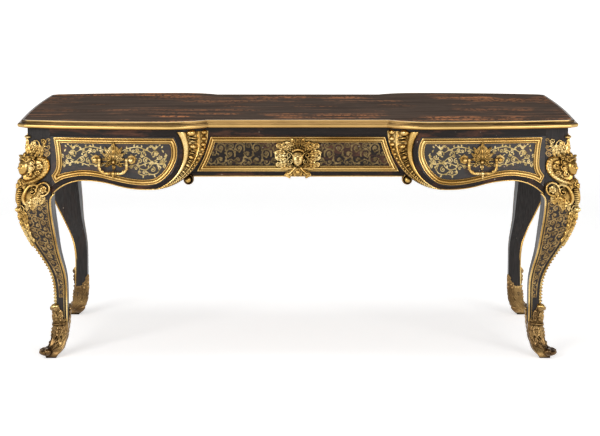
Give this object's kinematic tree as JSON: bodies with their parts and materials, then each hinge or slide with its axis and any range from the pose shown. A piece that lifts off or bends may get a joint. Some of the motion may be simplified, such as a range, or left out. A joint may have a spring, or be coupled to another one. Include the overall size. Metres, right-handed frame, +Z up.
{
  "type": "bureau plat",
  "caption": "Writing table with a bowed and recessed frieze of drawers, sham drawers behind, cabriole legs, brass marquetry, gilt bronze mounts and a leather top.",
  "frame": {"origin": "on the floor under the middle of the table", "axes": "+X along the length, to the right of someone facing the drawers; -Y to the front; +Z up"},
  "size_m": [1.8102, 0.94, 0.79],
  "materials": {
    "gilt_bronze": "chased and gilt",
    "ebonised_wood": "french polished",
    "marquetry": "brass on ebony",
    "oak": "planed, unpolished",
    "leather": "worn, tooled"
  },
  "bodies": {
    "carcase": {"top_board": "ebonised_wood", "writing_leather": "leather", "top_moulding_front": "gilt_bronze", "top_moulding_back": "gilt_bronze", "top_moulding_ends": "gilt_bronze", "front_top_rail": "ebonised_wood", "back_top_rail": "ebonised_wood", "front_stiles": "ebonised_wood", "back_stiles": "ebonised_wood", "front_left_apron": "ebonised_wood", "front_right_apron": "ebonised_wood", "front_centre_apron": "ebonised_wood", "back_aprons": "ebonised_wood", "sham_drawer_fronts": "marquetry", "left_end_panel": "marquetry", "right_end_panel": "marquetry", "left_partition": "oak", "right_partition": "oak", "drawer_runners": "oak", "drawer_kickers": "oak", "back_handle_mounts": "gilt_bronze", "back_mask": "gilt_bronze", "sham_drawer_frames": "gilt_bronze", "front_left_bracket": "gilt_bronze", "front_right_bracket": "gilt_bronze", "back_brackets": "gilt_bronze", "end_panel_frames": "gilt_bronze", "apron_fillets": "gilt_bronze", "front_left_leg": "ebonised_wood", "front_right_leg": "ebonised_wood", "back_left_leg": "ebonised_wood", "back_right_leg": "ebonised_wood", "front_left_corner_mount": "gilt_bronze", "front_right_corner_mount": "gilt_bronze", "back_left_corner_mount": "gilt_bronze", "back_right_corner_mount": "gilt_bronze", "front_left_sabot": "gilt_bronze", "front_right_sabot": "gilt_bronze", "back_left_sabot": "gilt_bronze", "back_right_sabot": "gilt_bronze"},
    "left_drawer": {"left_drawer_front": "marquetry", "left_drawer_frame": "gilt_bronze", "left_drawer_sides": "oak", "left_drawer_bottom": "oak", "left_handle_mount": "gilt_bronze"},
    "right_drawer": {"right_drawer_front": "marquetry", "right_drawer_frame": "gilt_bronze", "right_drawer_sides": "oak", "right_drawer_bottom": "oak", "right_handle_mount": "gilt_bronze"},
    "centre_drawer": {"centre_drawer_front": "marquetry", "centre_drawer_frame": "gilt_bronze", "centre_drawer_sides": "oak", "centre_drawer_bottom": "oak", "centre_mask": "gilt_bronze"},
    "left_bail": {"left_bail": "gilt_bronze"},
    "right_bail": {"right_bail": "gilt_bronze"},
    "back_left_bail": {"back_left_bail": "gilt_bronze"},
    "back_right_bail": {"back_right_bail": "gilt_bronze"}
  },
  "joints": [
    {"name": "left_drawer_slide", "type": "slide", "parent": "carcase", "child": "left_drawer", "axis": [0, -1, 0], "range_m": [0, 0.4]},
    {"name": "centre_drawer_slide", "type": "slide", "parent": "carcase", "child": "centre_drawer", "axis": [0, -1, 0], "range_m": [0, 0.4]},
    {"name": "right_drawer_slide", "type": "slide", "parent": "carcase", "child": "right_drawer", "axis": [0, -1, 0], "range_m": [0, 0.4]},
    {"name": "left_bail_swing", "type": "hinge", "parent": "left_drawer", "child": "left_bail", "pos_m": [-0.5857, -0.45695, 0.669], "axis": [-0.9964, 0.085, 0], "range_deg": [0, 85]},
    {"name": "right_bail_swing", "type": "hinge", "parent": "right_drawer", "child": "right_bail", "pos_m": [0.5857, -0.45695, 0.669], "axis": [-0.9964, -0.085, 0], "range_deg": [0, 85]},
    {"name": "back_left_bail_swing", "type": "hinge", "parent": "carcase", "child": "back_left_bail", "pos_m": [-0.5857, 0.45695, 0.669], "axis": [0.9964, 0.085, 0], "range_deg": [0, 85]},
    {"name": "back_right_bail_swing", "type": "hinge", "parent": "carcase", "child": "back_right_bail", "pos_m": [0.5857, 0.45695, 0.669], "axis": [0.9964, -0.085, 0], "range_deg": [0, 85]}
  ]
}
